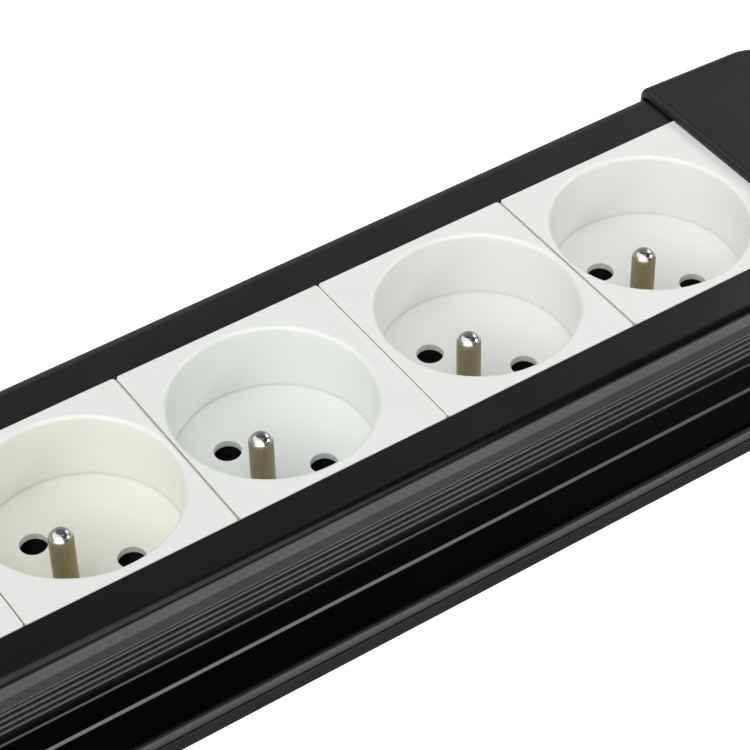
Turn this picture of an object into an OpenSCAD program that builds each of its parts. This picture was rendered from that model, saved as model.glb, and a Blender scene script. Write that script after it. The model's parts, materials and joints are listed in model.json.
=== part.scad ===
// Multi-socket power strip: an extruded aluminium profile that holds twin socket modules,
// closed by a plastic cap at each end, with the cord gland in the near cap.
// Frame: X runs along the strip, Z is up, and the origin is the middle of the flat base.

/* [Socket wells] */
// Diameter of a socket well
well_d = 40.2; // [38:0.1:44]
// Depth of a well below the socket face
well_depth = 15.2; // [14:0.1:17]
// Radius of a well's rounded rim
rim_r = 0.8; // [0.2:0.1:0.9]
// Thickness of a well's round wall
well_wall = 1.2; // [0.8:0.1:1.2]
// Thickness of a well's floor
well_floor = 1.5; // [1.2:0.1:3]

/* [Socket modules] */
// Material beside a well, across the strip
side_margin = 2.4; // [2.2:0.1:5]
// Material between the two wells of a twin module
middle_margin = 2.4; // [1.2:0.1:8]
// Material outside the wells at the ends of a twin module, on average
end_margin = 3.6; // [3:0.1:8]
// How far the wells stand off the module's middle, towards the cord
well_offset = 1; // [0:0.1:1.4]
// Thickness of a module's face plate
plate_t = 2.5; // [2:0.1:3.5]
// Corner radius of a face plate, seen from above
plate_r = 0.6; // [0.2:0.1:1.5]
// Gap between two modules
module_gap = 0.3; // [0.1:0.05:0.6]
// Width of the groove that divides a twin face
divider_w = 0.5; // [0.3:0.1:1]
// Depth of the dividing groove
divider_d = 0.8; // [0.3:0.1:1.5]
// Flare at each end of the dividing groove
divider_flare = 0.45; // [0.1:0.05:0.8]
// Wall and floor thickness of a contact tray
tray_wall = 1.6; // [1:0.1:2.4]
// Thickness of a shutter carrier's plate
deck_t = 1.8; // [1.4:0.1:2.4]
// Diameter of a screw boss on a module
boss_d = 5; // [4.4:0.1:6]
// Distance of a screw boss from the module's edges
boss_inset = 4.2; // [3.6:0.1:5]
// Shank diameter of a module screw
module_screw_d = 3; // [2.5:0.1:3.2]

/* [Aluminium profile] */
// Overall height from base to rail top
profile_h = 40.8; // [39.5:0.1:55]
// Width of a rail beside the modules
rail_w = 9.9; // [8.5:0.1:16]
// Thickness of rails, skirts and flanges
wall = 2.2; // [1.8:0.1:2.4]
// Thickness of the webs beside the modules
web_t = 1.5; // [1.2:0.1:1.8]
// Thickness of the base plate between the webs
base_t = 2; // [1.5:0.1:2.5]
// Width of the ledge that a module's plate rests on
seat_w = 0.9; // [0.7:0.05:0.95]
// Steepest slope of the curved outer margins of rails and flanges, in degrees
margin_slope = 20; // [10:1:30]
// Width of a rail's curved outer margin
rail_margin = 2; // [1.4:0.1:3]
// Radius of a rail's outer edge
rail_edge_r = 0.6; // [0.3:0.1:1]
// Width of a flange's curved outer margin
flange_margin = 1.4; // [1.2:0.1:2.4]
// Radius of a flange's outer edge
flange_edge_r = 1; // [0.6:0.1:1.2]
// Height of the ribbed skirt under a rail's edge
skirt_h = 12.6; // [11.6:0.1:16]
// Height of the base flange
flange_h = 6.8; // [6.2:0.1:9]
// Height of the small ledge in the side channel, above the base
ledge_z = 14.2; // [10:0.1:20]
// Depth of the small ledge in the side channel
ledge_d = 0.25; // [0.1:0.05:0.5]
// Height of the slope on the small ledge
ledge_rise = 0.25; // [0.1:0.05:1]
// Height of the slope where a web meets the base flange
foot_rise = 0.5; // [0.2:0.1:1.5]
// Width of the slope where a web meets the base flange
foot_run = 0.5; // [0.2:0.1:0.8]
// Height of the smooth band below the rail top
band_h = 3.6; // [2.6:0.1:4]
// Depth of the step under the smooth band
step_d = 1.25; // [0.5:0.05:1.3]
// Height of the straight lip above the ribs
lip_h = 0.35; // [0.2:0.05:0.8]
// Depth of the first rib below the rail top
first_rib = 6.4; // [5.6:0.1:7]
// Number of ribs on a skirt
rib_count = 4; // [3:1:5]
// Depth of the grooves between ribs
rib_d = 0.45; // [0.3:0.05:0.5]
// Width of the grooves between ribs
rib_gap = 0.25; // [0.1:0.05:0.4]
// Height of the groove on the base flange
flange_groove = 3.7; // [2:0.1:4]
// Width of the groove on the base flange
groove_w = 0.45; // [0.2:0.05:0.7]
// Depth of the groove on the base flange
groove_d = 0.4; // [0.2:0.05:0.8]
// Outer diameter of a screw port
port_d = 5.6; // [5:0.1:5.8]

/* [Contacts] */
// Distance between the two contact holes
contact_spacing = 19; // [17:0.1:21]
// Diameter of a contact hole
contact_hole_d = 5.5; // [5:0.1:6]
// Distance of the earth pin from the line of the contact holes
earth_offset = 10; // [9.5:0.1:11]
// Diameter of the earth pin
earth_pin_d = 4.8; // [4:0.1:5.2]
// Height of the earth pin above the well's floor
earth_pin_h = 15.9; // [12:0.1:16.5]
// Diameter of the earth pin's collar
collar_d = 7.4; // [6.5:0.1:8]
// Bore of a contact sleeve
sleeve_bore = 4.9; // [4.4:0.1:5.2]
// Wall of a contact sleeve
sleeve_wall = 0.8; // [0.5:0.1:1]
// Width of a busbar strip
bus_w = 4; // [3:0.1:5]
// Thickness of a busbar strip
bus_t = 1; // [0.6:0.1:1.2]
// Height of the ribs that carry the busbars in a tray
pedestal_h = 1.2; // [0.8:0.1:3]

/* [Shutters] */
// Thickness of a shutter
shutter_t = 4.6; // [3.6:0.1:5]
// Travel of a shutter
shutter_travel = 6.5; // [6:0.1:7]
// Overlap of a shutter beyond the edge of a contact hole
shutter_lap = 0.6; // [0.4:0.05:0.8]
// Running gap around a shutter
shutter_gap = 0.2; // [0.1:0.05:0.4]
// Thickness of the guide walls around a shutter
guide_t = 1.2; // [0.8:0.1:1.6]
// Length of a shutter's return spring at rest
spring_l = 10.8; // [9.5:0.1:11.5]
// Outer diameter of a return spring
spring_d = 3.4; // [2.6:0.1:3.4]
// Wire diameter of a return spring
spring_wire = 0.4; // [0.3:0.05:0.5]

/* [End caps] */
// Length of an end cap
cap_l = 33; // [29.5:0.5:50]
// Overlap of an end cap on the module next to it
cap_lap = 1; // [0.5:0.1:2]
// Thickness of a cap's end wall
cap_end_t = 5.9; // [5:0.1:8]
// How far a cap stands proud of the profile
cap_proud = 1.85; // [1.4:0.05:3]
// Radius of a cap's long upper edges
cap_edge_r = 2.6; // [1:0.1:4]
// Radius of a cap's rounded end corners
cap_end_r = 9; // [5:0.5:12]
// Draft of a cap from its lip to its end
cap_draft = 0.55; // [0:0.05:1]
// Rounding around a cap's lip
cap_lip_r = 1.2; // [0.3:0.1:1.4]
// Shank diameter of a cap screw
cap_screw_d = 3; // [2.5:0.1:3.2]
// Head diameter of a cap screw
cap_head_d = 5.6; // [5:0.1:6]
// Depth of the recess for a cap screw's head
cap_recess = 3.4; // [3:0.1:4]

/* [Cord gland] */
// Diameter of the gland's spigot
spigot_d = 15.8; // [14:0.1:18]
// Wall of the gland's spigot around the seal
spigot_wall = 2; // [1.5:0.1:2.4]
// Wall of the rubber seal around the cord
seal_wall = 1.3; // [1:0.1:2]
// Width of the gland's hexagons beyond the spigot, across corners
hex_margin = 6.2; // [5:0.2:9]
// Length of the gland's outer hexagon
gland_hex_l = 5; // [4:0.5:8]
// Length of the gland's dome nut
gland_nut_l = 13; // [12:0.5:18]
// Thickness of the gland's locknut
locknut_t = 4; // [3:0.5:5]
// Height of the gland's axis above the base
gland_z = 19; // [17:0.5:22]

/* [Hidden] */
$fn = 64;
twin_count = 3;
socket_count = 2 * twin_count;
seat_gap = 0.1;      // between pieces that rest on each other
slide_gap = 0.15;    // between pieces that slide into each other
hole_gap = 0.05;     // around a shank in its hole
cut = 1;             // how far a cutting tool reaches past a face
fuse = 0.3;          // how far two fused shapes reach into each other

// Widths and lengths that follow the wells
module_w = well_d + 2 * side_margin;
socket_spacing = well_d + middle_margin;
module_pitch = socket_spacing + well_d + 2 * end_margin;
plate_l = module_pitch - module_gap;
modules_half = twin_count * module_pitch / 2;
cap_lip_x = modules_half - cap_lap;
cap_end_x = cap_lip_x + cap_l;
cap_inner_x = cap_end_x - cap_end_t;
profile_half = cap_inner_x - seat_gap;
half_w = module_w / 2 + rail_w;
rail_in = module_w / 2 + slide_gap;
web_in = module_w / 2 - seat_w;
web_out = web_in + web_t;
channel_in = web_out + ledge_d;
tray_w = 2 * (web_in - 2 * slide_gap);

// Levels, from the socket face down
floor_z = profile_h - well_depth;
under_z = floor_z - well_floor;
slot_h = shutter_t + 2 * shutter_gap;
deck_z = under_z - seat_gap - slot_h;
deck_under_z = deck_z - deck_t;
sleeve_top_z = deck_under_z - seat_gap;
tray_z = base_t + seat_gap;
tray_floor_z = tray_z + tray_wall;
bus_top_z = tray_floor_z + pedestal_h + seat_gap + bus_t;
sleeve_l = sleeve_top_z - bus_top_z;
plate_z = profile_h - plate_t;

// Shutter outline in its socket's own turned frame
socket_turn = -45;
lobe_half = contact_hole_d / 2 + shutter_lap;
shutter_half = contact_spacing / 2 + lobe_half;
bridge_w = 2;

// Return springs
spring_turns = 7;
spring_rings = 8;
spring_sides = 6;
spring_from = lobe_half + spring_wire / 2 + seat_gap;
spring_to = lobe_half + spring_l - spring_wire / 2 - seat_gap;
spring_mid_z = deck_z + shutter_gap + spring_d / 2 + seat_gap;
spring_coil_r = (spring_d - spring_wire) / 2;
spring_last = spring_turns * spring_rings;

// Screw ports of the profile and the places of the cap screws
port_bite = 0.6;
upper_port = [web_out + port_d / 2 - port_bite, profile_h - wall - port_d / 2 + port_bite];
lower_port = [channel_in + port_d / 2 - port_bite, cap_head_d / 2 + slide_gap + 0.45];
cap_screw_l = 18;
cap_head_t = 2.2;

// Rib that joins the two wells of a twin, and the screws under it
rib_l = 10;
module_head_d = boss_d - 1;
module_head_t = 1.4;
module_screw_grip = 8;
module_screw_top = deck_z + module_screw_grip;

// Earth pins: root in the well's floor, tail through the busbar
pin_root_d = earth_pin_d + 0.6;
pin_tail_d = earth_pin_d - 1.8;
rivet_h = 0.7;
rivet_out = 0.7;

// Snap legs that hold a module down
leg_l = 6;
leg_t = 1.2;
leg_h = 8;
nib_h = 1.6;
nib_out = 0.35;
snap_h = 2;
snap_d = 0.5;
snap_drop = 7;

// Terminals at the near end and the earth bond at the far end
terminal_l = 13;
terminal_gap = 1.5;
terminal_half_w = 14;
terminal_screw_d = 3;
terminal_head_d = 5.6;
terminal_head_t = 2;
bus_near = modules_half + terminal_gap + terminal_l - 1;
terminal_x = bus_near - 4;
bus_far = modules_half - 6;
earth_far = modules_half + 6;
bond_w = 6;
bond_t = 0.9;
bond_foot = 10;
bond_x = earth_far + bond_t + bond_foot / 2;
bond_screw_d = 3;
bond_head_d = 5.6;
bond_head_t = 2.2;

// Cord gland
gland_hex_d = spigot_d + hex_margin;
seal_d = spigot_d - 2 * spigot_wall;
seal_l = 8;
cord_hole_d = seal_d - 2 * seal_wall;
gland_bore_d = cord_hole_d + 0.8;
spigot_l = cap_end_t + locknut_t + seat_gap + 2;
thread_l = gland_nut_l - 4;

function twin_x(i) = (i - (twin_count + 1) / 2) * module_pitch;
function socket_x(k) = twin_x(ceil(k / 2)) - well_offset + (k % 2 == 1 ? -1 : 1) * socket_spacing / 2;
function turned(p) = [
    p.x * cos(socket_turn) - p.y * sin(socket_turn),
    p.x * sin(socket_turn) + p.y * cos(socket_turn)
];

// Contact places in a socket, then the three clamps: Y, and the top of the strip that is clamped
live_at = turned([contact_spacing / 2, 0]);
neutral_at = turned([-contact_spacing / 2, 0]);
earth_at = turned([0, -earth_offset]);
clamps = [[live_at.y, bus_top_z], [0, sleeve_top_z], [neutral_at.y, bus_top_z]];
clamp_depth = 2;

// A flat outline in Y and Z, carried along X between two places
module along_x(from, to) {
    translate([from, 0, 0])
        rotate([90, 0, 90])
            linear_extrude(to - from)
                children();
}

// The places of a twin module's four corner screws
module at_bosses() {
    for (sx = [-1, 1], sy = [-1, 1])
        translate([sx * (plate_l / 2 - boss_inset), sy * (tray_w / 2 - boss_inset), 0])
            children();
}

// The places of a twin module's two wells
module at_wells() {
    for (s = [-1, 1])
        translate([s * socket_spacing / 2 - well_offset, 0, 0])
            children();
}

module at_socket(k) {
    translate([socket_x(k), 0, 0])
        rotate(socket_turn)
            children();
}

module block(from, to) {
    translate(from)
        cube(to - from);
}

// Aluminium profile

// A plate whose outer margin bends down in a wide arc and then turns in a rounding to a straight edge
module edge_plate(from, top, margin, edge_r, edge_bottom) {
    first_slope = 4;
    sink = 0.005;
    arc_r = (margin - edge_r * (1 - sin(margin_slope))) / (sin(margin_slope) - sin(first_slope));
    arc_y = half_w - margin - arc_r * sin(first_slope);
    arc_z = top - arc_r * cos(first_slope);
    arc_end_y = arc_y + arc_r * sin(margin_slope);
    turn_z = arc_z + (arc_r - edge_r) * cos(margin_slope) - sink;
    translate([from, top - wall])
        square([arc_y + arc_r * sin(first_slope) / 2 - from, wall]);
    intersection() {
        translate([arc_y, arc_z])
            circle(arc_r);
        translate([arc_y, top - wall])
            square([arc_end_y - arc_y, wall]);
    }
    translate([half_w - edge_r, turn_z])
        circle(edge_r);
    translate([half_w - wall, edge_bottom])
        square([wall, turn_z - edge_bottom]);
}

module rail_outline() {
    edge_plate(rail_in, profile_h, rail_margin, rail_edge_r, profile_h - band_h);
    translate([rail_in, plate_z - seat_gap - wall])
        square([wall, plate_t + seat_gap + wall]);
    skirt_outline();
}

// The skirt below the smooth band: a leaning face that ends in a lip, then round ribs
module skirt_outline() {
    rib_pitch = (skirt_h - first_rib) / rib_count;
    rib_r = (rib_pitch - rib_gap) / 2;
    rib_top = profile_h - first_rib;
    polygon([
        [half_w - wall, rib_top],
        [half_w, rib_top],
        [half_w, rib_top + lip_h],
        [half_w - step_d, profile_h - band_h],
        [half_w - step_d, profile_h - band_h + fuse],
        [half_w - wall, profile_h - band_h + fuse]
    ]);
    translate([half_w - wall, profile_h - skirt_h])
        square([wall - rib_d, skirt_h - first_rib + fuse]);
    for (n = [0:rib_count - 1])
        translate([half_w - rib_r, rib_top - (n + 0.5) * rib_pitch])
            circle(rib_r);
}

module flange_outline() {
    difference() {
        edge_plate(web_in, flange_h, flange_margin, flange_edge_r, 0);
        translate([half_w - groove_d, flange_groove - groove_w / 2])
            square([groove_d + cut, groove_w]);
    }
}

module web_outline() {
    difference() {
        translate([web_in, 0])
            square([web_t, plate_z - seat_gap]);
        translate([web_in - cut, plate_z - snap_drop])
            square([cut + snap_d, snap_h]);
    }
    polygon([
        [web_out - fuse, flange_h - fuse],
        [channel_in, flange_h - fuse],
        [channel_in, ledge_z - ledge_rise],
        [web_out, ledge_z],
        [web_out - fuse, ledge_z]
    ]);
    polygon([
        [channel_in - fuse, flange_h - fuse],
        [channel_in + foot_run + fuse, flange_h - fuse],
        [channel_in + foot_run, flange_h],
        [channel_in, flange_h + foot_rise],
        [channel_in - fuse, flange_h + foot_rise]
    ]);
}

module port_outline(at) {
    translate(at)
        circle(d = port_d);
}

module profile_outline() {
    difference() {
        for (side = [0, 1])
            mirror([side, 0]) {
                rail_outline();
                web_outline();
                flange_outline();
                port_outline(upper_port);
                port_outline(lower_port);
                translate([-fuse, 0])
                    square([web_out + fuse, base_t]);
            }
        for (side = [-1, 1], at = [upper_port, lower_port])
            translate([side * at.x, at.y])
                circle(d = cap_screw_d + 2 * hole_gap);
    }
}

module aluminium_profile() {
    color("#2e302f")
        difference() {
            along_x(-profile_half, profile_half)
                profile_outline();
            translate([bond_x, 0, -cut])
                cylinder(d = bond_screw_d + 2 * hole_gap, h = base_t + 2 * cut);
        }
}

// End caps

// One slice of a cap's lip, drawn in by its rounding
module lip_slice(x, inset) {
    top = profile_h + cap_proud - inset;
    side = half_w + cap_proud - inset;
    for (s = [-1, 1]) {
        translate([x, s * (side - cap_edge_r), top - cap_edge_r])
            rotate([0, 90, 0])
                cylinder(r = cap_edge_r, h = 0.1, $fn = 48);
        translate([x, s * (side - 0.5) - 0.5, 0])
            cube([0.1, 1, 1]);
    }
}

module cap_shell() {
    top = profile_h + cap_proud - cap_draft;
    side = half_w + cap_proud - cap_draft;
    difference() {
        hull() {
            for (turn = [0:22.5:90])
                lip_slice(cap_lip_x + cap_lip_r * (1 - cos(turn)), cap_lip_r * (1 - sin(turn)));
            for (s = [-1, 1])
                translate([cap_end_x - cap_end_r, s * (side - cap_end_r), 0]) {
                    cylinder(r = cap_end_r, h = 1, $fn = 48);
                    translate([0, 0, top - cap_edge_r])
                        rotate_extrude($fn = 48)
                            translate([cap_end_r - cap_edge_r, 0])
                                circle(cap_edge_r, $fn = 48);
                }
        }
        block(
            [cap_lip_x - cut, -half_w - slide_gap, -cut],
            [cap_inner_x, half_w + slide_gap, profile_h + slide_gap]
        );
        at_cap_screws(cap_inner_x - cut)
            cylinder(d = cap_screw_d + 2 * hole_gap, h = cap_l);
        at_cap_screws(cap_end_x - cap_recess)
            cylinder(d = cap_head_d + 2 * slide_gap, h = cap_l);
    }
}

// Children along +X at the four screw places of the far cap
module at_cap_screws(x) {
    for (side = [-1, 1], at = [upper_port, lower_port])
        translate([x, side * at.x, at.y])
            rotate([0, 90, 0])
                children();
}

module end_cap_far() {
    color("#343537")
        cap_shell();
}

module end_cap_near() {
    color("#343537")
        difference() {
            mirror([1, 0, 0])
                cap_shell();
            translate([-cap_end_x - cut, 0, gland_z])
                rotate([0, 90, 0])
                    cylinder(d = spigot_d + 2 * slide_gap, h = cap_l);
        }
}

module cap_screw() {
    translate([0, 0, -cap_screw_l])
        cylinder(d = cap_screw_d, h = cap_screw_l + fuse);
    difference() {
        cylinder(d = cap_head_d, h = cap_head_t);
        for (turn = [0, 90])
            rotate(turn)
                translate([-1.8, -0.4, cap_head_t - 1])
                    cube([3.6, 0.8, 1 + cut]);
    }
}

module end_cap_screws() {
    color("silver")
        for (end = [0, 1])
            mirror([end, 0, 0])
                at_cap_screws(cap_end_x - cap_recess + hole_gap)
                    cap_screw();
}

// Socket modules

module plate_outline() {
    square([plate_l - 2 * plate_r, module_w], center = true);
    square([plate_l, module_w - 2 * plate_r], center = true);
    for (sx = [-1, 1], sy = [-1, 1])
        translate([sx * (plate_l / 2 - plate_r), sy * (module_w / 2 - plate_r)])
            circle(plate_r);
}

// Groove across a twin face, flared where it meets the rails
module divider_outline() {
    side = divider_w / 2;
    mouth = side + divider_flare + cut;
    end = module_w / 2 - divider_flare;
    polygon([
        [side, -end],
        [side, end],
        [mouth, module_w / 2 + cut],
        [-mouth, module_w / 2 + cut],
        [-side, end],
        [-side, -end],
        [-mouth, -module_w / 2 - cut],
        [mouth, -module_w / 2 - cut]
    ]);
}

module well_void() {
    translate([0, 0, floor_z])
        cylinder(d = well_d, h = well_depth + cut, $fn = 128);
    rotate_extrude($fn = 128)
        difference() {
            translate([well_d / 2 - fuse, profile_h - rim_r])
                square([rim_r + fuse, rim_r + cut]);
            translate([well_d / 2 + rim_r, profile_h - rim_r])
                circle(rim_r);
        }
}

module snap_leg() {
    leg_out = web_in - slide_gap;
    block(
        [-leg_l / 2, leg_out - leg_t, plate_z - leg_h],
        [leg_l / 2, leg_out, plate_z + fuse]
    );
    block(
        [-leg_l / 2, leg_out - fuse, plate_z - snap_drop + slide_gap],
        [leg_l / 2, web_in + nib_out, plate_z - snap_drop + slide_gap + nib_h]
    );
}

module socket_face(i) {
    leg_x = plate_l / 2 - boss_inset - boss_d / 2 - leg_l / 2;
    color("#e5e7e3")
        translate([twin_x(i), 0, 0])
            difference() {
                union() {
                    translate([0, 0, plate_z])
                        linear_extrude(plate_t)
                            plate_outline();
                    at_wells()
                        translate([0, 0, under_z])
                            cylinder(d = well_d + 2 * well_wall, h = plate_z + fuse - under_z, $fn = 128);
                    block(
                        [-well_offset - middle_margin, -rib_l / 2, under_z],
                        [-well_offset + middle_margin, rib_l / 2, plate_z + fuse]
                    );
                    at_bosses()
                        translate([0, 0, deck_z + seat_gap])
                            cylinder(d = boss_d, h = plate_z + fuse - deck_z - seat_gap);
                    for (sx = [-1, 1], side = [0, 1])
                        translate([sx * leg_x, 0, 0])
                            mirror([0, side, 0])
                                snap_leg();
                }
                at_wells() {
                    well_void();
                    translate([0, 0, under_z - cut])
                        rotate(socket_turn) {
                            for (c = [-1, 1])
                                translate([c * contact_spacing / 2, 0, 0])
                                    cylinder(d = contact_hole_d, h = well_floor + 2 * cut);
                            translate([0, -earth_offset, 0])
                                cylinder(d = pin_root_d + 2 * hole_gap, h = well_floor + 2 * cut);
                        }
                }
                translate([-well_offset, 0, profile_h - divider_d])
                    linear_extrude(divider_d + cut)
                        divider_outline();
                at_bosses()
                    translate([0, 0, deck_z])
                        cylinder(d = module_screw_d + 2 * hole_gap, h = module_screw_grip + cut);
            }
}

// Walls that guide a shutter, stop it and hold its spring, in the socket's turned frame
module shutter_guides() {
    inner = shutter_half + shutter_gap;
    lift = slot_h + fuse;
    translate([0, 0, deck_z - fuse]) {
        for (s = [0, 1])
            mirror([s, 0, 0])
                block([inner, -lobe_half, 0], [inner + guide_t, lobe_half + shutter_travel, lift]);
        block(
            [-inner - guide_t, -lobe_half - shutter_gap - guide_t, 0],
            [inner + guide_t, -lobe_half - shutter_gap, lift]
        );
        for (s = [0, 1])
            mirror([s, 0, 0])
                block(
                    [inner, -lobe_half - shutter_gap - fuse, 0],
                    [inner + guide_t, -lobe_half + fuse, lift]
                );
        block(
            [-spring_d, lobe_half + spring_l, 0],
            [spring_d, lobe_half + spring_l + guide_t, lift]
        );
    }
}

module shutter_carrier(i) {
    color("#d8dad6")
        translate([twin_x(i), 0, 0])
            difference() {
                union() {
                    translate([0, 0, deck_under_z])
                        linear_extrude(deck_t)
                            square([plate_l, tray_w], center = true);
                    at_wells()
                        rotate(socket_turn)
                            shutter_guides();
                }
                at_wells()
                    translate([0, 0, deck_under_z - cut])
                        rotate(socket_turn) {
                            for (c = [-1, 1])
                                translate([c * contact_spacing / 2, 0, 0])
                                    cylinder(d = contact_hole_d, h = deck_t + 2 * cut);
                            translate([0, -earth_offset, 0])
                                cylinder(d = pin_root_d + 2 * hole_gap, h = deck_t + 2 * cut);
                        }
                at_bosses()
                    translate([0, 0, deck_under_z - cut])
                        cylinder(d = module_screw_d + 2 * slide_gap, h = deck_t + 2 * cut);
            }
}

module contact_tray(i) {
    wall_h = sleeve_top_z - tray_z;
    inner_l = plate_l - 2 * tray_wall;
    notch_w = bus_w + 4 * slide_gap;
    color("#3a3c3e")
        translate([twin_x(i), 0, 0])
            difference() {
                union() {
                    difference() {
                        block(
                            [-plate_l / 2, -tray_w / 2, tray_z],
                            [plate_l / 2, tray_w / 2, tray_z + wall_h]
                        );
                        block(
                            [-inner_l / 2, -tray_w / 2 + tray_wall, tray_floor_z],
                            [inner_l / 2, tray_w / 2 - tray_wall, tray_z + wall_h + cut]
                        );
                    }
                    for (y = [live_at.y, neutral_at.y])
                        block(
                            [-plate_l / 2, y - bus_w / 2, tray_floor_z - fuse],
                            [plate_l / 2, y + bus_w / 2, bus_top_z - bus_t - seat_gap]
                        );
                    at_bosses()
                        translate([0, 0, tray_z])
                            cylinder(d = boss_d, h = wall_h);
                }
                for (y = [live_at.y, neutral_at.y])
                    block(
                        [-plate_l, y - notch_w / 2, bus_top_z - bus_t - seat_gap],
                        [plate_l, y + notch_w / 2, tray_z + wall_h + cut]
                    );
                block(
                    [-plate_l, -notch_w / 2, sleeve_top_z - bus_t - seat_gap],
                    [plate_l, notch_w / 2, tray_z + wall_h + cut]
                );
                at_bosses() {
                    translate([0, 0, tray_z - cut])
                        cylinder(d = module_screw_d + 2 * slide_gap, h = wall_h + 2 * cut);
                    translate([0, 0, tray_z - cut])
                        cylinder(d = module_head_d + 2 * hole_gap, h = module_head_t + cut);
                }
            }
}

// Screws that hold face, carrier and tray together, from below
module module_screws() {
    color("silver")
        for (i = [1:twin_count])
            translate([twin_x(i), 0, 0])
                at_bosses() {
                    translate([0, 0, tray_z])
                        cylinder(d = module_head_d, h = module_head_t - hole_gap);
                    translate([0, 0, tray_z + fuse])
                        cylinder(d = module_screw_d, h = module_screw_top - tray_z - fuse);
                }
}

// Earth pin: domed shank, root in the floor with a collar under it, tail riveted to the earth busbar
module earth_pin(k) {
    nose_r = earth_pin_d * 0.4;
    tip_z = floor_z + earth_pin_h;
    root_z = floor_z - seat_gap;
    tab_z = sleeve_top_z;
    color("#b9b4a4")
        at_socket(k)
            translate([0, -earth_offset, 0]) {
                rotate_extrude() {
                    translate([0, tab_z])
                        square([pin_root_d / 2, root_z - tab_z]);
                    translate([0, root_z - fuse])
                        square([earth_pin_d / 2, tip_z - nose_r - root_z + fuse]);
                    translate([0, tip_z - nose_r - fuse])
                        square([earth_pin_d / 2 - nose_r, nose_r + fuse]);
                    intersection() {
                        translate([earth_pin_d / 2 - nose_r, tip_z - nose_r])
                            circle(nose_r);
                        translate([0, tip_z - nose_r - fuse])
                            square([earth_pin_d / 2, nose_r + fuse]);
                    }
                    translate([0, deck_z + seat_gap])
                        square([collar_d / 2, slot_h - seat_gap]);
                    translate([0, tab_z - bus_t - rivet_h])
                        square([pin_tail_d / 2, bus_t + rivet_h + fuse]);
                    translate([0, tab_z - bus_t - rivet_h])
                        square([pin_tail_d / 2 + rivet_out, rivet_h - hole_gap]);
                }
            }
}

// Wedge-faced shutter that closes both contact holes and is pushed aside by a plug's pins
module shutter(k) {
    lip = 0.6;
    color("#18191a")
        at_socket(k)
            translate([0, 0, deck_z + shutter_gap]) {
                for (s = [-1, 1])
                    translate([s * contact_spacing / 2 - lobe_half, 0, 0])
                        along_x(0, 2 * lobe_half)
                            polygon([
                                [-lobe_half, 0],
                                [lobe_half, 0],
                                [lobe_half, shutter_t],
                                [lobe_half - lip, shutter_t],
                                [-lobe_half, lip]
                            ]);
                block([-shutter_half, lobe_half - bridge_w, 0], [shutter_half, lobe_half, shutter_t - lip]);
            }
}

// Return spring, one unbroken coil between the shutter and the carrier's stop
function spring_centre(n) = [
    spring_coil_r * cos(360 * n / spring_rings),
    spring_from + (spring_to - spring_from) * n / spring_last,
    spring_mid_z + spring_coil_r * sin(360 * n / spring_rings)
];
function spring_point(n, s) =
    let (turn = 360 * n / spring_rings, side = 360 * s / spring_sides)
    spring_centre(n) + spring_wire / 2 * [cos(side) * cos(turn), sin(side), cos(side) * sin(turn)];
spring_least_gap = min([
    for (n = [0:spring_last - spring_rings])
        norm(spring_centre(n + spring_rings) - spring_centre(n)) - spring_wire
]);
echo(spring_least_gap = spring_least_gap);

module shutter_spring(k) {
    points = [for (n = [0:spring_last], s = [0:spring_sides - 1]) spring_point(n, s)];
    sides = [
        for (n = [0:spring_last - 1], s = [0:spring_sides - 1])
            let (a = n * spring_sides + s, b = n * spring_sides + (s + 1) % spring_sides)
            each [[a, b, a + spring_sides], [b, b + spring_sides, a + spring_sides]]
    ];
    first = [for (s = [1:spring_sides - 2]) [0, s + 1, s]];
    top = spring_last * spring_sides;
    last = [for (s = [1:spring_sides - 2]) [top, top + s, top + s + 1]];
    color("silver")
        at_socket(k)
            polyhedron(points = points, faces = concat(sides, first, last));
}

// Busbars

// A split sleeve that grips a plug's pin, standing on its strip
module contact_sleeve() {
    translate([0, 0, bus_top_z - fuse])
        difference() {
            cylinder(d = sleeve_bore + 2 * sleeve_wall, h = sleeve_l + fuse);
            translate([0, 0, fuse])
                cylinder(d = sleeve_bore, h = sleeve_l + cut);
            translate([0, -0.4, fuse + 1])
                cube([sleeve_bore, 0.8, sleeve_l + cut]);
        }
}

module contact_busbar(at) {
    color("#c9a24a")
        difference() {
            union() {
                block(
                    [-bus_near, at.y - bus_w / 2, bus_top_z - bus_t],
                    [bus_far, at.y + bus_w / 2, bus_top_z]
                );
                for (k = [1:socket_count])
                    translate([socket_x(k) + at.x, at.y, 0])
                        contact_sleeve();
            }
            translate([-terminal_x, at.y, bus_top_z - bus_t - cut])
                cylinder(d = terminal_screw_d + 2 * hole_gap, h = bus_t + 2 * cut);
        }
}

module live_busbar() {
    contact_busbar(live_at);
}

module neutral_busbar() {
    contact_busbar(neutral_at);
}

module earth_busbar() {
    tab_half = collar_d / 2 - 0.5;
    color("#c9a24a")
        difference() {
            union() {
                block([-bus_near, -bus_w / 2, sleeve_top_z - bus_t], [earth_far, bus_w / 2, sleeve_top_z]);
                for (k = [1:socket_count])
                    translate([socket_x(k) + earth_at.x, 0, 0])
                        block(
                            [-tab_half, earth_at.y - tab_half, sleeve_top_z - bus_t],
                            [tab_half, 0, sleeve_top_z]
                        );
            }
            for (k = [1:socket_count])
                translate([socket_x(k) + earth_at.x, earth_at.y, sleeve_top_z - bus_t - cut])
                    cylinder(d = pin_tail_d + 2 * hole_gap, h = bus_t + 2 * cut);
            translate([-terminal_x, 0, sleeve_top_z - bus_t - cut])
                cylinder(d = terminal_screw_d + 2 * hole_gap, h = bus_t + 2 * cut);
        }
}

// Terminals and earth bond

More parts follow.
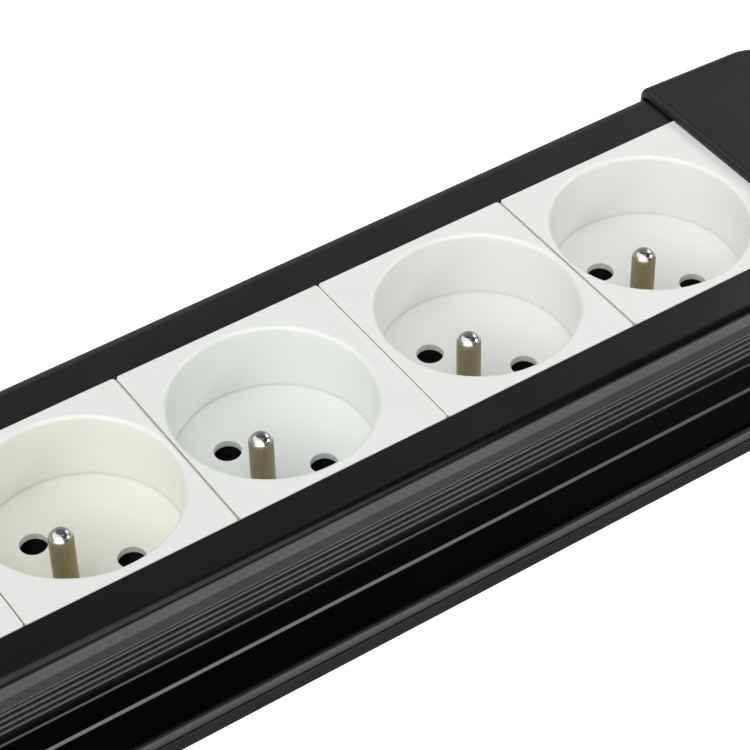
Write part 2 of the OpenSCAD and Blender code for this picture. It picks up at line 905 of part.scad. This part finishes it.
module terminal_block() {
    from_x = -modules_half - terminal_gap - terminal_l;
    to_x = -modules_half - terminal_gap;
    color("#e5e7e3")
        difference() {
            union() {
                block(
                    [from_x, -terminal_half_w, tray_z],
                    [to_x, terminal_half_w, bus_top_z - bus_t - seat_gap]
                );
                block(
                    [from_x, -bus_w / 2, tray_z],
                    [to_x, bus_w / 2, sleeve_top_z - bus_t - seat_gap]
                );
            }
            for (clamp = clamps)
                translate([-terminal_x, clamp.x, clamp.y - bus_t - seat_gap - clamp_depth])
                    cylinder(d = terminal_screw_d + 2 * hole_gap, h = clamp_depth + cut);
        }
}

module terminal_screws() {
    color("silver")
        for (clamp = clamps)
            translate([-terminal_x, clamp.x, clamp.y + seat_gap]) {
                difference() {
                    cylinder(d = terminal_head_d, h = terminal_head_t);
                    translate([-terminal_head_d, -0.4, terminal_head_t - 0.8])
                        cube([2 * terminal_head_d, 0.8, 0.8 + cut]);
                }
                translate([0, 0, -bus_t - clamp_depth])
                    cylinder(d = terminal_screw_d, h = bus_t + clamp_depth + fuse);
            }
}

module earth_bond_strap() {
    top_z = sleeve_top_z - bus_t - seat_gap;
    foot_z = base_t + seat_gap;
    color("#c9a24a")
        difference() {
            union() {
                block(
                    [earth_far - bond_w, -bond_w / 2, top_z - bond_t],
                    [earth_far + bond_t, bond_w / 2, top_z]
                );
                block([earth_far, -bond_w / 2, foot_z], [earth_far + bond_t, bond_w / 2, top_z]);
                block(
                    [earth_far, -bond_w / 2, foot_z],
                    [earth_far + bond_t + bond_foot, bond_w / 2, foot_z + bond_t]
                );
            }
            translate([bond_x, 0, foot_z - cut])
                cylinder(d = bond_screw_d + 2 * hole_gap, h = bond_t + 2 * cut);
        }
}

module earth_bond_screw() {
    foot_top = base_t + 2 * seat_gap + bond_t;
    color("silver")
        translate([bond_x, 0, 0]) {
            difference() {
                translate([0, 0, foot_top])
                    cylinder(d = bond_head_d, h = bond_head_t);
                translate([-bond_head_d, -0.4, foot_top + bond_head_t - 0.8])
                    cube([2 * bond_head_d, 0.8, 0.8 + cut]);
            }
            translate([0, 0, seat_gap])
                cylinder(d = bond_screw_d, h = foot_top + fuse - seat_gap);
        }
}

// Cord gland, along X at the near cap's end

module along_gland(x) {
    translate([x, 0, gland_z])
        rotate([0, -90, 0])
            children();
}

module gland_body() {
    color("#2a2b2c")
        difference() {
            union() {
                along_gland(-cap_end_x - seat_gap)
                    cylinder(d = gland_hex_d, h = gland_hex_l, $fn = 6);
                along_gland(-cap_end_x + spigot_l)
                    cylinder(d = spigot_d, h = spigot_l + fuse);
                along_gland(-cap_end_x - seat_gap - gland_hex_l + fuse)
                    cylinder(d = spigot_d, h = thread_l + fuse);
            }
            along_gland(-cap_end_x + spigot_l + cut)
                cylinder(d = gland_bore_d, h = 2 * cap_l);
            along_gland(-cap_end_x - seat_gap - gland_hex_l - thread_l + seal_l)
                cylinder(d = seal_d + 2 * slide_gap, h = seal_l + cut);
        }
}

module gland_locknut() {
    color("#2a2b2c")
        difference() {
            along_gland(-cap_inner_x + seat_gap + locknut_t)
                cylinder(d = gland_hex_d, h = locknut_t, $fn = 6);
            along_gland(-cap_inner_x + seat_gap + locknut_t + cut)
                cylinder(d = spigot_d + 2 * slide_gap, h = locknut_t + 2 * cut);
        }
}

module gland_seal() {
    color("#1c1c1c")
        difference() {
            along_gland(-cap_end_x - seat_gap - gland_hex_l - thread_l + seal_l - seat_gap)
                cylinder(d = seal_d, h = seal_l - seat_gap);
            along_gland(-cap_end_x - gland_hex_l - thread_l + seal_l + cut)
                cylinder(d = cord_hole_d, h = seal_l + 3 * cut);
        }
}

module gland_nut() {
    nut_x = -cap_end_x - 2 * seat_gap - gland_hex_l;
    nose_l = gland_nut_l - thread_l - 2 * seat_gap;
    color("#2a2b2c")
        difference() {
            union() {
                along_gland(nut_x)
                    cylinder(d = gland_hex_d, h = gland_nut_l - nose_l, $fn = 6);
                along_gland(nut_x - gland_nut_l + nose_l + fuse)
                    cylinder(d1 = gland_hex_d - 3, d2 = gland_bore_d + 5, h = nose_l + fuse);
            }
            along_gland(nut_x + cut)
                cylinder(d = spigot_d + 2 * slide_gap, h = thread_l + seat_gap + cut);
            along_gland(nut_x)
                cylinder(d = gland_bore_d, h = 2 * gland_nut_l);
        }
}

aluminium_profile();
end_cap_far();
end_cap_near();
end_cap_screws();
for (i = [1:twin_count]) {
    socket_face(i);
    shutter_carrier(i);
    contact_tray(i);
}
module_screws();
for (k = [1:socket_count]) {
    earth_pin(k);
    shutter(k);
    shutter_spring(k);
}
live_busbar();
neutral_busbar();
earth_busbar();
terminal_block();
terminal_screws();
earth_bond_strap();
earth_bond_screw();
gland_body();
gland_locknut();
gland_seal();
gland_nut();
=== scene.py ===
import json
import math

import bpy
import numpy as np
from mathutils import Matrix, Quaternion, Vector


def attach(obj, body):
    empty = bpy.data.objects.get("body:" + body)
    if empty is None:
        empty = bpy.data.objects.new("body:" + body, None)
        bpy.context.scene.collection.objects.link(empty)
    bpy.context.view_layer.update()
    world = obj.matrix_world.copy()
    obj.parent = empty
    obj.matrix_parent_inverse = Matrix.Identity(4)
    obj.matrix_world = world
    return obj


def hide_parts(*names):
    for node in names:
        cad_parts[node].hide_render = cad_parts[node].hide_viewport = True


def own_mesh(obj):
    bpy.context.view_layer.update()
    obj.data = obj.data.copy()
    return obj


# desk power strip with round recessed sockets: black anodised profile, white twin modules, satin end caps

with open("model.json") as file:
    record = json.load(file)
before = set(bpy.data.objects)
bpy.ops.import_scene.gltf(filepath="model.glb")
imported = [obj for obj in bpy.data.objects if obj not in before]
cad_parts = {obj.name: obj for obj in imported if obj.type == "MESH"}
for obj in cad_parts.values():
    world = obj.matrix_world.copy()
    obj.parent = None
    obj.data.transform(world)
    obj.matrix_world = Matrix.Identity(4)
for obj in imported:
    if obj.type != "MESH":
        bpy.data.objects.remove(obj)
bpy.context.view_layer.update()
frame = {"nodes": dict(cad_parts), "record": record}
nodes = frame["nodes"]
mm = 0.001
print("frame loaded,", len(nodes), "pieces")


# colours are written as sRGB hex and used as linear values
def linear(hexColour):
    srgb = [int(hexColour[i:i + 2], 16) / 255 for i in (1, 3, 5)]
    return [c / 12.92 if c <= 0.04045 else ((c + 0.055) / 1.055) ** 2.4 for c in srgb] + [1.0]


# adds a node; a socket takes a plain value, an output, or another node's first output in use
def addNode(tree, kind, sockets=None, **settings):
    made = tree.nodes.new(kind)
    for name, value in settings.items():
        setattr(made, name, value)
    for key, value in (sockets or {}).items():
        if isinstance(value, bpy.types.Node):
            value = next(output for output in value.outputs if output.enabled)
        if isinstance(value, bpy.types.NodeSocket):
            tree.links.new(value, made.inputs[key])
        else:
            made.inputs[key].default_value = value
    return made


def newMaterial(name):
    made = bpy.data.materials.new(name)
    made.use_nodes = True
    made.node_tree.nodes.clear()
    return made, made.node_tree


# black anodised aluminium, extruded: a dark, almost glassy skin with faint die lines along the length, drawn
# coarser than they are, and a painted highlight on the slopes at the ledge and the foot of the channel, a lighter
# grey in place of the light they catch. a slope is given by the height of its middle, half its height and its
# colour; sizes in mm
anodisedSkin = {
    "dark": "#5a5b5b",
    "light": "#6b6c6c",
    "cloud": 14.0,
    "paintedHighlightSlopes": [(7.05, 0.23, "#b8b9b9"), (14.075, 0.115, "#8c8d8d")],
    "dieLine": 0.35,
    "drawn": 250,
    "rough": 0.12,
    "roughMore": 0.1,
    "relief": 0.004,
    "edge": 0.16,
}


def anodised(skin):
    made, tree = newMaterial("aluminium, extruded and black anodised")
    place = addNode(tree, "ShaderNodeTexCoord").outputs["Object"]
    along = addNode(tree, "ShaderNodeMapping", {"Vector": place, "Scale": (1 / skin["drawn"], 1, 1)})
    fine = 1 / (skin["dieLine"] * mm)
    lines = addNode(tree, "ShaderNodeTexNoise", {"Vector": along, "Scale": fine, "Detail": 3.0})
    cloud = addNode(tree, "ShaderNodeTexNoise", {"Vector": place, "Scale": 1 / (skin["cloud"] * mm)})
    height = addNode(tree, "ShaderNodeSeparateXYZ", {"Vector": place}).outputs["Z"]
    shades = {0: cloud, 6: linear(skin["dark"]), 7: linear(skin["light"])}
    colour = addNode(tree, "ShaderNodeMix", shades, data_type="RGBA")
    # painted highlight: each slope at the ledge and the foot gets a lighter grey in place of the light it reflects
    for level, reach, highlightGrey in skin["paintedHighlightSlopes"]:
        band = {0: height, 1: level * mm, 2: reach * mm}
        onHighlightSlope = addNode(tree, "ShaderNodeMath", band, operation="COMPARE")
        colour = addNode(tree, "ShaderNodeMix", {0: onHighlightSlope, 6: colour, 7: linear(highlightGrey)}, data_type="RGBA")
    spread = {0: lines, 1: skin["roughMore"], 2: skin["rough"]}
    rough = addNode(tree, "ShaderNodeMath", spread, operation="MULTIPLY_ADD")
    rounded = addNode(tree, "ShaderNodeBevel", {"Radius": skin["edge"] * mm}, samples=6)
    bump = addNode(tree, "ShaderNodeBump", {
        "Height": lines, "Distance": skin["relief"] * mm, "Strength": 0.1, "Normal": rounded})
    shader = addNode(tree, "ShaderNodeBsdfPrincipled", {
        "Base Color": colour, "Metallic": 1.0, "Roughness": rough, "Normal": bump})
    addNode(tree, "ShaderNodeOutputMaterial", {"Surface": shader})
    return made


# moulded plastic: even colour with a slight cloud, and a satin shine from a fine grain that is drawn coarse enough
# to show. a tint takes the place of the colour below a height, in steps along the strip; corners and hollows are
# painted darker
gloss = {"rough": 0.34, "grain": 0.3, "relief": 0.01, "edge": 0.12}
satin = {"rough": 0.42, "grain": 0.25, "relief": 0.02, "edge": 0.3}
mouldedCloud = 10.0
mouldedSpread = 0.2


def moulded(name, dark, light, finish, shine=0.5, tint=None):
    made, tree = newMaterial(name)
    place = addNode(tree, "ShaderNodeTexCoord").outputs["Object"]
    cloud = addNode(tree, "ShaderNodeTexNoise", {"Vector": place, "Scale": 1 / (mouldedCloud * mm)})
    fine = 1 / (finish["grain"] * mm)
    pits = addNode(tree, "ShaderNodeTexNoise", {"Vector": place, "Scale": fine, "Detail": 3.0})
    colour = addNode(tree, "ShaderNodeMix", {0: cloud, 6: linear(dark), 7: linear(light)}, data_type="RGBA")
    if tint:
        axes = addNode(tree, "ShaderNodeSeparateXYZ", {"Vector": place})
        level = {0: axes.outputs["Z"], 1: tint["below"] * mm}
        inside = addNode(tree, "ShaderNodeMath", level, operation="LESS_THAN")
        first, last = tint["steps"][0][0], tint["steps"][-1][0]
        share = addNode(tree, "ShaderNodeMapRange", {
            "Value": axes.outputs["X"], "From Min": first * mm, "From Max": last * mm})
        steps = addNode(tree, "ShaderNodeValToRGB", {"Fac": share})
        steps.color_ramp.interpolation = "CONSTANT"
        for x, hexColour in tint["steps"][1:-1]:
            steps.color_ramp.elements.new((x - first) / (last - first)).color = linear(hexColour)
        steps.color_ramp.elements[0].color = linear(tint["steps"][0][1])
        steps.color_ramp.elements[-1].color = linear(tint["steps"][-1][1])
        colour = addNode(tree, "ShaderNodeMix", {0: inside, 6: colour, 7: steps}, data_type="RGBA")
        # corners and hollows are painted darker, in step with the ambient occlusion found within the given reach
        reach = {"Distance": tint["corner"] * mm}
        free = addNode(tree, "ShaderNodeAmbientOcclusion", reach, samples=8, only_local=True).outputs["AO"]
        colour = addNode(tree, "ShaderNodeMix", {0: free, 6: linear(tint["cornerDarkColour"]), 7: colour}, data_type="RGBA")
    spread = {0: pits, 1: mouldedSpread, 2: finish["rough"] - mouldedSpread / 2}
    rough = addNode(tree, "ShaderNodeMath", spread, operation="MULTIPLY_ADD")
    rounded = addNode(tree, "ShaderNodeBevel", {"Radius": finish["edge"] * mm}, samples=6)
    bump = addNode(tree, "ShaderNodeBump", {
        "Height": pits, "Distance": finish["relief"] * mm, "Strength": 0.3, "Normal": rounded})
    shader = addNode(tree, "ShaderNodeBsdfPrincipled", {
        "Base Color": colour, "Roughness": rough, "Specular IOR Level": shine, "Normal": bump})
    addNode(tree, "ShaderNodeOutputMaterial", {"Surface": shader})
    return made


# turned, drawn or rolled metal: fine marks, stretched upright or along the strip, give a soft brushed shine.
# where a dome is given, the metal above that height is polished
metalMarks = {"size": 0.2, "relief": 0.01, "edge": 0.1, "spread": 0.3}
upright, lengthwise = (1, 1, 0.15), (0.1, 1, 1)


def metal(name, dark, light, roughness, stretch, dome=None):
    made, tree = newMaterial(name)
    place = addNode(tree, "ShaderNodeTexCoord").outputs["Object"]
    along = addNode(tree, "ShaderNodeMapping", {"Vector": place, "Scale": stretch})
    fine = 1 / (metalMarks["size"] * mm)
    marks = addNode(tree, "ShaderNodeTexNoise", {"Vector": along, "Scale": fine, "Detail": 3.0})
    colour = addNode(tree, "ShaderNodeMix", {0: marks, 6: linear(dark), 7: linear(light)}, data_type="RGBA")
    spread = {0: marks, 1: metalMarks["spread"], 2: roughness - metalMarks["spread"] / 2}
    rough = addNode(tree, "ShaderNodeMath", spread, operation="MULTIPLY_ADD")
    if dome:
        height = addNode(tree, "ShaderNodeSeparateXYZ", {"Vector": place}).outputs["Z"]
        level = {0: height, 1: dome["above"] * mm}
        above = addNode(tree, "ShaderNodeMath", level, operation="GREATER_THAN")
        polished = {0: above, 6: colour, 7: linear(dome["colour"])}
        colour = addNode(tree, "ShaderNodeMix", polished, data_type="RGBA")
        rough = addNode(tree, "ShaderNodeMix", {0: above, 2: rough, 3: dome["rough"]})
    rounded = addNode(tree, "ShaderNodeBevel", {"Radius": metalMarks["edge"] * mm}, samples=6)
    bump = addNode(tree, "ShaderNodeBump", {
        "Height": marks, "Distance": metalMarks["relief"] * mm, "Strength": 0.2, "Normal": rounded})
    shader = addNode(tree, "ShaderNodeBsdfPrincipled", {
        "Base Color": colour, "Metallic": 1.0, "Roughness": rough, "Normal": bump})
    addNode(tree, "ShaderNodeOutputMaterial", {"Surface": shader})
    return made


# the wells are not quite the same white: one is warmer and its neighbour cooler
wellTint = {
    "below": 40.1,
    "corner": 0.8,
    "cornerDarkColour": "#d2d0c6",
    "steps": [(-180, "#eeefeb"), (-46, "#f0f1e8"), (-1, "#eef1ee"), (44, "#eeefeb"), (180, "#eeefeb")],
}
pinDome = {"above": 40.5, "colour": "#d9d8d4", "rough": 0.2}
dull = {**satin, "rough": 0.75}
rubbery = {**satin, "rough": 0.65}
look = {
    "black_anodised": anodised(anodisedSkin),
    "cap_plastic": moulded("nylon, moulded satin black", "#1a1b1c", "#222325", satin, shine=0.35),
    "face_plastic": moulded("polycarbonate, moulded white", "#ebede9", "#f1f3f0", gloss, tint=wellTint),
    "carrier_plastic": moulded("polyamide, moulded off-white", "#d2d4cf", "#e0e2dd", gloss),
    "tray_plastic": moulded("polyamide, moulded dark grey", "#343638", "#404244", satin),
    "shutter_plastic": moulded("acetal, moulded black", "#040404", "#090909", dull, shine=0.1),
    "nickel_plated": metal("brass, turned and nickel plated", "#837c58", "#b9b192", 0.44, upright, pinDome),
    "spring_steel": metal("spring steel, drawn wire", "#8f8f8f", "#bbbbbb", 0.29, upright),
    "screw_steel": metal("steel, zinc plated", "#999b9d", "#c7c9cb", 0.29, upright),
    "brass": metal("brass, rolled strip", "#ae7f30", "#d9ac5e", 0.29, lengthwise),
    "terminal_plastic": moulded("polyamide, moulded white", "#d8d9d4", "#e6e7e2", gloss),
    "gland_nylon": moulded("polyamide, moulded black", "#202122", "#2e2f30", satin),
    "gland_rubber": moulded("rubber, moulded black", "#131313", "#1e1e1e", rubbery),
}
for part in frame["record"]["subparts"]:
    piece = nodes[part["node"]]
    piece.data.materials.clear()
    piece.data.materials.append(look[part["material_slot"]])
print("materials given")


# return springs: a round tube wound on a helix about each shutter's line of travel. lengths in mm from the middle
# of the well, "around" and "along" are points around the wire and along one turn
spring = {
    "coil": 1.5,
    "wire": 0.2,
    "turns": 7,
    "start": 3.65,
    "end": 13.85,
    "stop": 14.05,
    "level": 21.0,
    "around": 10,
    "along": 24,
}
travelLine = np.array([math.sqrt(0.5), math.sqrt(0.5), 0])
acrossLine = np.array([math.sqrt(0.5), -math.sqrt(0.5), 0])
upLine = np.array([0, 0, 1.0])


# rings of points joined into a closed tube, with a flat face at either end
def tubeMesh(name, rings, around):
    count = len(rings) // around
    row, column = np.meshgrid(np.arange(count - 1), np.arange(around), indexing="ij")
    here, after = row * around, (row + 1) * around
    beside = (column + 1) % around
    sides = np.stack([here + column, here + beside, after + beside, after + column], -1)
    ends = [list(range(around))[::-1], list(range((count - 1) * around, count * around))]
    made = bpy.data.meshes.new(name)
    made.from_pydata(rings.tolist(), [], sides.reshape(-1, 4).tolist() + ends)
    made.polygons.foreach_set("use_smooth", np.ones(len(made.polygons), bool))
    made.update()
    return made


# middle of a piece along the strip, in mm
def middle(piece):
    along = [v.co.x for v in piece.data.vertices]
    return (min(along) + max(along)) / 2 / mm


# centre line: circle of radius coil, rising evenly from start to end along the travel
for number in range(1, 7):
    axle = np.array([middle(nodes[f"shutter_{number}"]), 0, spring["level"]])
    turn = np.linspace(0, 2 * math.pi * spring["turns"], spring["turns"] * spring["along"] + 1)[:, None]
    rise = np.linspace(spring["start"], spring["end"], len(turn))[:, None]
    radial = np.cos(turn) * acrossLine + np.sin(turn) * upLine
    centre = axle + rise * travelLine + spring["coil"] * radial
    angle = np.linspace(0, 2 * math.pi, spring["around"], endpoint=False)[None, :, None]
    rings = centre[:, None] + spring["wire"] * (np.cos(angle) * radial[:, None] + np.sin(angle) * -travelLine)
    name = f"return_spring_{number}"
    coil = bpy.data.objects.new(name, tubeMesh(name, rings.reshape(-1, 3) * mm, spring["around"]))
    bpy.context.scene.collection.objects.link(coil)
    coil.data.materials.append(look["spring_steel"])
    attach(coil, "strip")
    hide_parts(f"shutter_spring_{number}")
    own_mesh(coil)
print("springs wound")


# floor: pale diffuse sheet lifted to white for the camera. reflections see it glowing bright, with a painted
# shadow
# close to the strip: two distances from the strip's middle, in mm, between which it goes from near to far
floor = {"half": 6.0, "colour": "#f2f2f2", "lift": 0.55, "near": 0.2, "far": 0.85, "paintedShadowEdge": (35.0, 36.4)}
corners = np.array([[-1, -1, 0], [1, -1, 0], [1, 1, 0], [-1, 1, 0]]) * floor["half"]
sheet = bpy.data.meshes.new("floor")
sheet.from_pydata(corners.tolist(), [], [[0, 1, 2, 3]])
ground = bpy.data.objects.new("floor", sheet)
bpy.context.scene.collection.objects.link(ground)
paper, tree = newMaterial("paper, matt white")
ray = addNode(tree, "ShaderNodeLightPath")
rays = {0: ray.outputs["Is Glossy Ray"], 1: ray.outputs["Is Transmission Ray"]}
mirrored = addNode(tree, "ShaderNodeMath", rays, operation="MAXIMUM")
place = addNode(tree, "ShaderNodeTexCoord").outputs["Object"]
across = addNode(tree, "ShaderNodeSeparateXYZ", {"Vector": place}).outputs["Y"]
across = addNode(tree, "ShaderNodeMath", {0: across}, operation="ABSOLUTE")
# painted shadow for reflections: the floor's glow is dimmed close to the strip
bright = addNode(tree, "ShaderNodeMapRange", {
    "Value": across,
    "From Min": floor["paintedShadowEdge"][0] * mm,
    "From Max": floor["paintedShadowEdge"][1] * mm,
    "To Min": floor["near"],
    "To Max": floor["far"],
})
bright = addNode(tree, "ShaderNodeMath", {0: mirrored, 1: bright}, operation="MULTIPLY")
seen = {0: ray.outputs["Is Camera Ray"], 1: floor["lift"], 2: bright}
lift = addNode(tree, "ShaderNodeMath", seen, operation="MULTIPLY_ADD")
shades = {0: mirrored, 6: linear(floor["colour"]), 7: linear("#000000")}
colour = addNode(tree, "ShaderNodeMix", shades, data_type="RGBA")
shader = addNode(tree, "ShaderNodeBsdfPrincipled", {
    "Base Color": colour,
    "Roughness": 0.9,
    "Specular IOR Level": 0.0,
    "Emission Color": (1, 1, 1, 1),
    "Emission Strength": lift,
})
addNode(tree, "ShaderNodeOutputMaterial", {"Surface": shader})
sheet.materials.append(paper)

# world: each quarter of the sky fades with height, and the quarters blend where they meet.
# stops are (height of the direction, grey)
blend = 0.1
room = {
    "left": {
        "front": [(0.0, 1.5), (0.45, 1.5), (0.55, 2.1), (1.0, 2.1)],
        "back": [(0.0, 0.3), (0.45, 0.3), (0.55, 1.15), (1.0, 1.15)],
    },
    "right": {
        "front": [(0.0, 0.45), (0.10, 0.42), (0.17, 0.05), (1.0, 0.01)],
        "back": [
            (0.0, 0.35), (0.25, 0.33), (0.60, 0.27), (0.67, 0.19),
            (0.71, 0.13), (0.75, 0.095), (0.80, 0.012), (1.0, 0.01),
        ],
    },
}
world = bpy.data.worlds.new("studio")
bpy.context.scene.world = world
world.use_nodes = True
tree = world.node_tree
tree.nodes.clear()
place = addNode(tree, "ShaderNodeTexCoord").outputs["Generated"]
toward = addNode(tree, "ShaderNodeSeparateXYZ", {"Vector": place})
edges = {"From Min": -blend, "From Max": blend}
behind = addNode(tree, "ShaderNodeMapRange", {"Value": toward.outputs["Y"], **edges})
onRight = addNode(tree, "ShaderNodeMapRange", {"Value": toward.outputs["X"], **edges})
halves = {}
for side, quarters in room.items():
    fades = {}
    for quarter, stops in quarters.items():
        fades[quarter] = addNode(tree, "ShaderNodeValToRGB", {"Fac": toward.outputs["Z"]})
        marks = fades[quarter].color_ramp.elements
        while len(marks) < len(stops):
            marks.new(1.0)
        for mark, (height, grey) in zip(marks, stops):
            mark.position = height
            mark.color = (grey, grey, grey, 1)
    pair = {0: behind, 6: fades["front"], 7: fades["back"]}
    halves[side] = addNode(tree, "ShaderNodeMix", pair, data_type="RGBA")
sky = addNode(tree, "ShaderNodeMix", {0: onRight, 6: halves["left"], 7: halves["right"]}, data_type="RGBA")
background = addNode(tree, "ShaderNodeBackground", {"Color": sky})
addNode(tree, "ShaderNodeOutputWorld", {"Surface": background})

# a faint panel overhead shows in the edges of the rails and a faint strip in front in the slopes of the channel;
# two softboxes on the right light the wells
softboxes = [
    {
        "name": "panel",
        "at": (0.182, 0.247, 1.04),
        "aim": (0.182, 0.248, 0.0),
        "turn": -48.0,
        "size": (0.74, 0.23),
        "power": 0.23,
    },
    {"name": "strip", "at": (0.60, -1.12, 0.97), "aim": (0.0, 0.0, 0.02), "size": (0.9, 0.34), "power": 0.37},
    {"name": "rightFront", "at": (1.35, -0.66, 0.86), "aim": (0.0, 0.0, 0.02), "size": (0.45, 0.45), "power": 7.6},
    {"name": "rightBack", "at": (1.10, 0.45, 0.80), "aim": (0.0, 0.0, 0.02), "size": (0.6, 0.6), "power": 1.5},
]
for box in softboxes:
    lamp = bpy.data.lights.new(box["name"], "AREA")
    lamp.shape = "RECTANGLE"
    lamp.size, lamp.size_y = box["size"]
    lamp.energy = box["power"]
    holder = bpy.data.objects.new(box["name"], lamp)
    bpy.context.scene.collection.objects.link(holder)
    holder.location = box["at"]
    facing = (Vector(box["aim"]) - Vector(box["at"])).to_track_quat("-Z", "Y")
    spin = Quaternion((0, 0, 1), math.radians(box.get("turn", 0)))
    holder.rotation_euler = (facing @ spin).to_euler()
print("floor and light set")

# camera: as fitted to the photograph. place in mm, angles in degrees
view = {
    "at": (-165.414, -321.909, 403.972),
    "turn": -32.978,
    "tilt": 43.899,
    "roll": -1.391,
    "lens": 132.355,
    "sensor": 36,
}
turn, tilt, roll = (math.radians(view[k]) for k in ("turn", "tilt", "roll"))
back = Vector((math.sin(turn) * math.cos(tilt), -math.cos(turn) * math.cos(tilt), math.sin(tilt)))
right = Vector((math.cos(turn), math.sin(turn), 0))
up = back.cross(right)
right, up = math.cos(roll) * right + math.sin(roll) * up, math.cos(roll) * up - math.sin(roll) * right
lens = bpy.data.cameras.new("photo")
lens.sensor_width = view["sensor"]
lens.lens = view["lens"]
lens.clip_start = 0.01
eye = bpy.data.objects.new("photo", lens)
bpy.context.scene.collection.objects.link(eye)
axes = Matrix((right, up, back)).transposed().to_4x4()
eye.matrix_world = Matrix.Translation(Vector(view["at"]) * mm) @ axes
bpy.context.scene.camera = eye
bpy.context.scene.view_settings.view_transform = "Standard"

print("camera set")
